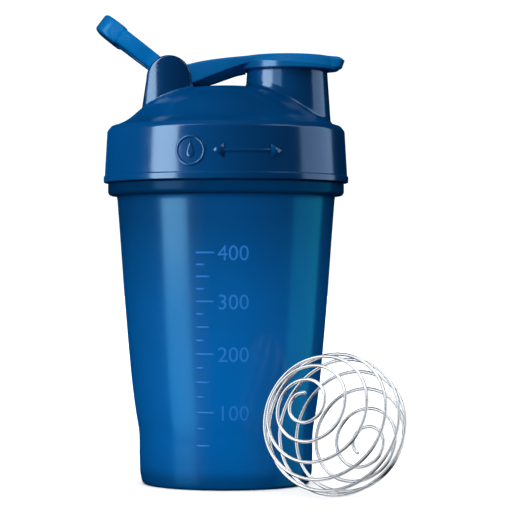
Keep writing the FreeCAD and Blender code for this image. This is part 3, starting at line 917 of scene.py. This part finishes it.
def build_loop():
    """The loop's frame, swept along the middle of its band in the loop's own plane, and its two eyes."""
    # outer (s, y), inner (s, y), half thickness, along one leg from the hinge to the middle of the head
    half = [(2.5, 11.25, 2.5, 7.15, 3.1), (6.0, 11.25, 6.0, 7.15, 3.3), (9.5, 11.25, 9.5, 7.2, 3.4),
            (12.0, 11.7, 11.5, 7.6, 3.4), (14.5, 12.8, 13.5, 8.8, 3.4), (17.5, 13.9, 16.5, 9.7, 3.4),
            (21.0, 14.5, 20.0, 10.1, 3.4), (25.0, 14.8, 23.8, 10.2, 3.42), (26.1, 14.85, 24.9, 10.15, 3.5),
            (26.9, 15.0, 25.7, 10.0, 3.9), (27.9, 15.0, 26.4, 9.6, 4.0), (31.0, 14.75, 27.4, 8.9, 4.0),
            (33.7, 13.4, 28.0, 7.8, 4.0), (35.7, 11.0, 28.2, 6.2, 4.0), (36.8, 7.8, 28.2, 4.4, 4.0),
            (37.1, 4.0, 28.2, 2.2, 4.0), (37.15, 0.0, 28.2, 0.0, 4.0)]
    first = catmull(half)
    whole = [tuple(r) for r in first] + [(a, -b, c, -d, e) for a, b, c, d, e in first[::-1][1:]]
    ca, sa = math.cos(LOOP_ANGLE), math.sin(LOOP_ANGLE)
    rows = []
    for so, yo, si, yi, th in whole:
        o, i = np.array([so, yo]), np.array([si, yi])
        width = float(np.linalg.norm(o - i))
        u = (o - i) / width
        row = []
        for a, b in rounded([(0, -th, 1.1), (width, -th, 1.5), (width, th, 1.5), (0, th, 1.1)], steps=6):
            s, y = i + u * a
            # in this frame -b is the side that faces up once the loop is turned back to its rest angle
            b -= LOOP_LIFT
            row.append((HINGE[0] + s * ca - b * sa, y, HINGE[1] + s * sa + b * ca))
        rows.append(row)
    parts = join(loft(rows), barrel(7.1, 11.3), barrel(-11.3, -7.1))
    ob = outward(add_mesh("carry_loop_frame", *parts, "loop", "cap_plastic"))
    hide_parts("carry_loop")
    return dress(ob, CAP)


loop = build_loop()

# ---------------------------------------------------------------- whisk ball
BALL_C = np.array([43.0, -58.0, 28.0])
BALL_R = 27.28  # to the middle of the wire
WIRE_R = 0.7
BALL_TURNS = 9.4
WIRE_STEPS = 620
BALL_AXIS = np.array([-0.4819, -0.8062, 0.3430])
BALL_CURL = 22.5
FIRST_POLAR, POLAR_SPAN = -2.4, 183.0  # degrees from the front pole
FIRST_TURN = 89.3  # degrees round the axis at the free end


def curl(angle):
    """Extra polar angle that keeps the last loops open near a pole."""
    return (math.hypot(angle, BALL_CURL) - angle) / 2


def spiral(t):
    """Point on the wire; t counts turns from the free end at the front pole."""
    axis = BALL_AXIS / np.linalg.norm(BALL_AXIS)
    e2 = np.array([0, 0, 1.0]) - axis * axis[2]
    e2 /= np.linalg.norm(e2)
    e1 = np.cross(e2, axis)
    even = FIRST_POLAR + POLAR_SPAN * t / BALL_TURNS
    th = math.radians(even + curl(even) - curl(180.0 - even))
    ph = math.radians(FIRST_TURN) + 2 * math.pi * t
    return BALL_C + BALL_R * (axis * math.cos(th) + (e1 * math.cos(ph) + e2 * math.sin(ph)) * math.sin(th))


wire = tube([spiral(i * BALL_TURNS / WIRE_STEPS) for i in range(WIRE_STEPS + 1)], WIRE_R, 14)
ball = outward(add_mesh("whisk_wire", *wire, "whisk", "steel_wire"))
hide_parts("whisk_ball")
dress(ball, STEEL)

# ---------------------------------------------------------------- kept CAD nodes
for name, mat in (("lid_seal_ring", SILICONE), ("spout_seal", SILICONE), ("hinge_pin", LID)):
    dress(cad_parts[name], mat)


# ---------------------------------------------------------------- floor, light, camera
def stage_floor():
    """A pale floor that can be seen from above only."""
    me = bpy.data.meshes.new("floor")
    half = 6.0
    me.from_pydata([(-half, -half, 0), (half, -half, 0), (half, half, 0), (-half, half, 0)], [], [(0, 1, 2, 3)])
    ob = bpy.data.objects.new("floor", me)
    bpy.context.scene.collection.objects.link(ob)
    mat, tree, bsdf = new_material("pale_floor")
    bsdf.inputs["Base Color"].default_value = (0.9, 0.9, 0.9, 1)
    bsdf.inputs["Roughness"].default_value = 0.9
    bsdf.inputs["Specular IOR Level"].default_value = 0.0
    side = node(tree, "ShaderNodeNewGeometry")
    clear = node(tree, "ShaderNodeBsdfTransparent")
    one_sided = node(tree, "ShaderNodeMixShader")
    tree.links.new(side.outputs["Backfacing"], one_sided.inputs["Fac"])
    tree.links.new(bsdf.outputs["BSDF"], one_sided.inputs[1])
    tree.links.new(clear.outputs["BSDF"], one_sided.inputs[2])
    tree.links.new(one_sided.outputs["Shader"], tree.nodes["Material Output"].inputs["Surface"])
    me.materials.append(mat)
    ob.location.z = -0.0002
    ob.visible_glossy = False
    ob.visible_diffuse = False
    ob.visible_shadow = False
    return ob


floor = stage_floor()


def aim(ob, target):
    ob.rotation_euler = (Vector(target) - ob.location).to_track_quat("-Z", "Y").to_euler()


def softbox(name, azimuth, distance, width, height, watts, z, shine, colour):
    """A soft light round the object; azimuth 0 is at the camera, positive to the right.

    With shine it shows only in reflections, and without it only in the diffuse light."""
    data = bpy.data.lights.new(name, "AREA")
    data.shape = "RECTANGLE"
    data.size, data.size_y = width, height
    data.energy = watts
    data.color = colour
    ob = bpy.data.objects.new(name, data)
    a = math.radians(azimuth)
    ob.location = (distance * math.sin(a), -distance * math.cos(a), z)
    bpy.context.scene.collection.objects.link(ob)
    aim(ob, (0, 0, 0.11))
    ob.visible_camera = False
    ob.visible_glossy = shine
    ob.visible_diffuse = not shine
    return ob


def receivers(name, *objs):
    """A group for lights to be linked to."""
    group = bpy.data.collections.new(name)
    for ob in objs:
        group.objects.link(ob)
    return group


on_cup = receivers("cup_receivers", cup, scale_print)
on_lid = receivers("lid_receivers", lid, ears, skirts, signs)
on_spout = receivers("spout_receivers", spout)
on_ears = receivers("ear_receivers", ears)
on_shell = receivers("shell_receivers", lid, spout, skirts, signs)
on_all_lid = receivers("all_lid_receivers", lid, spout, ears, skirts, signs)
on_rim = receivers("rim_receivers", cap_rim)
on_cap = receivers("cap_receivers", cap, cap_rim, cap_arm)
on_loop = receivers("loop_receivers", loop)
on_steel = receivers("steel_receivers", ball)


def panels(group, *rows):
    """Softboxes that light one group only.

    A row has name, azimuth, distance, width, height, radiance, z, shine and colour."""
    for name, azimuth, distance, wide, tall, radiance, z, shine, colour in rows:
        watts = radiance * math.pi * wide * tall
        ob = softbox(name, azimuth, distance, wide, tall, watts, z, shine, colour)
        ob.light_linking.receiver_collection = group


WHITE = (1.0, 1.0, 1.0)
panels(on_cup,
       ("cup_left", -55, 0.75, 0.44, 0.84, 9.0, 0.39, True, (0.3, 0.7, 1.0)),
       ("cup_left_low", -55, 0.75, 0.44, 0.4, 3.2, -0.17, True, (0.1, 0.7, 1.0)),
       ("cup_right", 98, 0.8, 0.66, 1.2, 1.45, 0.1, True, (0.03, 0.7, 1.0)),
       ("cup_left_wash", -42, 0.9, 0.6, 0.8, 1.7, 0.05, False, WHITE),
       ("cup_front", 0, 1.1, 0.8, 0.6, 2.9, 0.1, False, WHITE),
       ("cup_behind", 180, 1.1, 0.8, 0.6, 2.6, 0.1, False, WHITE))
panels(on_lid,
       ("lid_left", -58, 0.75, 0.36, 1.0, 11.5, 0.2, True, (0.56, 0.8, 1.0)))
panels(on_spout,
       ("spout_left", -58, 0.75, 0.44, 1.0, 11.0, 0.2, True, (0.56, 0.8, 1.0)),
       ("spout_left_front", -28, 0.75, 0.34, 1.0, 3.4, 0.2, True, (0.4, 0.75, 1.0)))
panels(on_ears,
       ("ear_wash", -88, 0.9, 0.6, 0.8, 8.5, 0.15, False, WHITE))
panels(on_all_lid,
       ("lid_right", 97, 0.8, 0.66, 1.0, 2.9, 0.2, True, (0.42, 0.65, 1.0)),
       ("lid_ridge_left", -52, 0.65, 0.5, 0.35, 3.0, 0.95, True, (0.6, 0.8, 1.0)),
       ("lid_ridge_right", 66, 0.7, 0.5, 0.35, 3.0, 0.85, True, (0.6, 0.8, 1.0)),
       ("lid_behind", 170, 1.1, 0.8, 0.6, 2.4, 0.2, False, WHITE))
panels(on_shell,
       ("lid_left_wash", -62, 0.9, 0.6, 0.8, 7.2, 0.15, False, WHITE),
       ("lid_overhead", 0, 0.3, 0.6, 0.6, 1.9, 0.85, False, WHITE))
panels(on_rim,
       ("cap_left", -42, 0.75, 0.46, 0.7, 10.0, 0.1, True, (0.45, 0.75, 1.0)))
panels(on_cap,
       ("cap_front", 0, 0.8, 0.8, 0.6, 5.4, 1.0, False, WHITE),
       ("cap_behind", 180, 1.1, 0.8, 0.6, 2.4, 0.5, False, WHITE))
panels(on_loop,
       ("loop_left", -57, 0.75, 0.36, 1.0, 3.0, 0.2, True, (0.4, 0.7, 1.0)),
       ("loop_front", -10, 1.1, 0.8, 0.6, 7.6, 0.5, False, WHITE),
       ("loop_behind", 180, 1.1, 0.8, 0.6, 3.0, 0.5, False, WHITE))
panels(on_steel,
       ("steel_left", -75, 0.9, 1.2, 1.2, 1.7, 0.2, True, (0.93, 0.97, 1.0)),
       ("steel_right", 80, 0.9, 1.2, 1.2, 1.2, 0.2, True, (0.93, 0.97, 1.0)),
       ("steel_top", 0, 0.1, 1.2, 1.2, 1.8, 1.0, True, WHITE),
       ("steel_back", 180, 0.9, 1.0, 1.0, 0.7, 0.2, True, WHITE),
       ("steel_front", 0, 0.7, 0.8, 0.8, 0.5, 0.25, True, WHITE),
       ("steel_low", 0, 0.1, 1.0, 1.0, 0.9, -0.7, True, WHITE))

sun = bpy.data.lights.new("floor_light", "SUN")
sun.energy = 4.2
sun.angle = math.radians(120)
sun_ob = bpy.data.objects.new("floor_light", sun)
bpy.context.scene.collection.objects.link(sun_ob)
only_floor = bpy.data.collections.new("floor_receivers")
only_floor.objects.link(floor)
sun_ob.light_linking.receiver_collection = only_floor

BACKDROP = 1.1  # strength that the camera sees
FILL_LOW, FILL_HIGH = 0.03, 0.62  # strength in the diffuse light, from below and from above
world = bpy.data.worlds.new("studio")
world.use_nodes = True
bpy.context.scene.world = world
wt = world.node_tree
path = wt.nodes.new("ShaderNodeLightPath")
heading = wt.nodes.new("ShaderNodeTexCoord")
part = node(wt, "ShaderNodeSeparateXYZ")
wt.links.new(heading.outputs["Generated"], part.inputs["Vector"])
rise = node(wt, "ShaderNodeMapRange")
wt.links.new(part.outputs["Z"], rise.inputs["Value"])
rise.inputs["From Min"].default_value = -0.7
rise.inputs["From Max"].default_value = 0.7
rise.inputs["To Min"].default_value = FILL_LOW
rise.inputs["To Max"].default_value = FILL_HIGH
seen = node(wt, "ShaderNodeMath", operation="MULTIPLY")
wt.links.new(path.outputs["Is Camera Ray"], seen.inputs[0])
seen.inputs[1].default_value = BACKDROP
fill = node(wt, "ShaderNodeMath", operation="MULTIPLY_ADD")
wt.links.new(path.outputs["Is Diffuse Ray"], fill.inputs[0])
wt.links.new(rise.outputs["Result"], fill.inputs[1])
wt.links.new(seen.outputs["Value"], fill.inputs[2])
back = wt.nodes["Background"]
back.inputs["Color"].default_value = (1, 1, 1, 1)
wt.links.new(fill.outputs["Value"], back.inputs["Strength"])

scene = bpy.context.scene
scene.view_settings.view_transform = "Standard"
cam_data = bpy.data.cameras.new("camera")
cam_data.lens = 155.0
cam_data.sensor_width = 36.0
cam_data.clip_start = 0.01
cam = bpy.data.objects.new("camera", cam_data)
scene.collection.objects.link(cam)
cam.location = (0.0124, -0.913, 0.0888)
cam.rotation_euler = (math.radians(90.3), 0, 0)
scene.camera = cam

bpy.context.view_layer.update()
